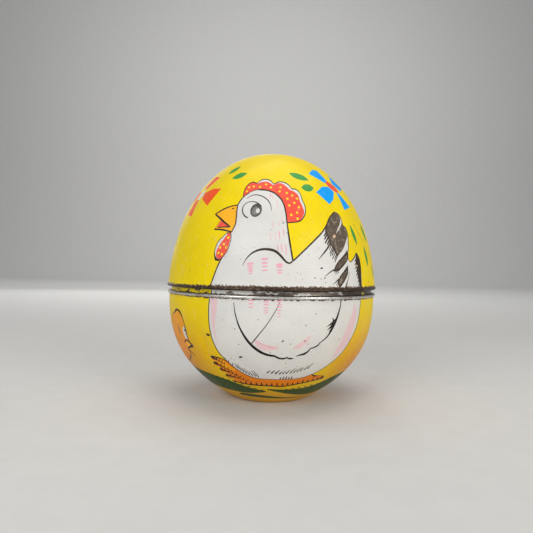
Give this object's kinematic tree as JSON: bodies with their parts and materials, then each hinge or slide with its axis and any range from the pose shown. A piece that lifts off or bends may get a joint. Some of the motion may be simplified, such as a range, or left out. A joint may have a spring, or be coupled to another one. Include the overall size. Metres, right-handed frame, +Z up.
{
  "type": "wind-up tin toy",
  "caption": "Printed tin egg that opens at its middle around a small clockwork hopping chick with a winding key and hinged legs.",
  "frame": {"origin": "centre of the egg's flat foot, on the surface it rests on", "axes": "+Z up the egg's axis; -Y is the side with the printed hen; the chick inside faces -X and its key is on its -Y side"},
  "size_m": [0.082, 0.082, 0.0948],
  "materials": {
    "egg_print": "gloss litho, worn",
    "chick_print": "gloss litho",
    "orange_print": "gloss litho",
    "steel": "satin",
    "plated_steel": "plated",
    "spring_steel": "blued",
    "brass": "satin"
  },
  "bodies": {
    "egg_lower": {"egg_base": "egg_print"},
    "egg_upper": {"egg_lid": "egg_print"},
    "chick": {"chick_shell_left": "chick_print", "chick_shell_right": "chick_print", "frame_plate_left": "steel", "frame_plate_right": "steel", "frame_pillar_front_top": "steel", "frame_pillar_rear_top": "steel", "frame_pillar_front_bottom": "steel", "mainspring": "spring_steel", "leg_pivot_pin": "steel"},
    "winder": {"winding_arbor": "steel", "winding_key": "plated_steel", "ratchet_wheel": "steel"},
    "great_wheel_set": {"great_wheel": "brass", "ratchet_click": "steel", "click_rivet": "steel"},
    "intermediate_set": {"intermediate_arbor": "steel", "intermediate_pinion": "brass", "intermediate_wheel": "brass"},
    "crank_set": {"crank_arbor": "steel", "crank_pinion": "brass", "crank_disc": "steel", "crank_pin": "steel"},
    "legs": {"leg_left": "steel", "leg_right": "steel", "leg_cross_bar": "steel", "ankle_rivet_left": "steel", "ankle_rivet_right": "steel", "foot_left": "orange_print", "foot_right": "orange_print"}
  },
  "joints": [
    {"name": "chick_lift", "type": "slide", "parent": "egg_lower", "child": "chick", "axis": [0, 0, 1], "range_m": [0, 0.06]},
    {"name": "lid_lift", "type": "slide", "parent": "chick", "child": "egg_upper", "axis": [0, 0, 1], "range_m": [0, 0.07]},
    {"name": "key_turn", "type": "hinge", "parent": "chick", "child": "winder", "pos_m": [0.0045, 0, 0.0319], "axis": [0, -1, 0], "continuous": true},
    {"name": "great_wheel_turn", "type": "hinge", "parent": "chick", "child": "great_wheel_set", "pos_m": [0.0045, 0, 0.0319], "axis": [0, -1, 0], "continuous": true},
    {"name": "intermediate_turn", "type": "hinge", "parent": "chick", "child": "intermediate_set", "pos_m": [-0.00227, 0, 0.02323], "axis": [0, -1, 0], "continuous": true},
    {"name": "crank_turn", "type": "hinge", "parent": "chick", "child": "crank_set", "pos_m": [0.00479, 0, 0.01948], "axis": [0, -1, 0], "continuous": true},
    {"name": "leg_swing", "type": "hinge", "parent": "chick", "child": "legs", "pos_m": [0.0124, 0, 0.019], "axis": [0, 1, 0], "range_deg": [0, 18.1]}
  ],
  "couplings": [
    {"joint": "intermediate_turn", "follows": "great_wheel_turn", "ratio": -4.5},
    {"joint": "crank_turn", "follows": "great_wheel_turn", "ratio": 13.5}
  ]
}
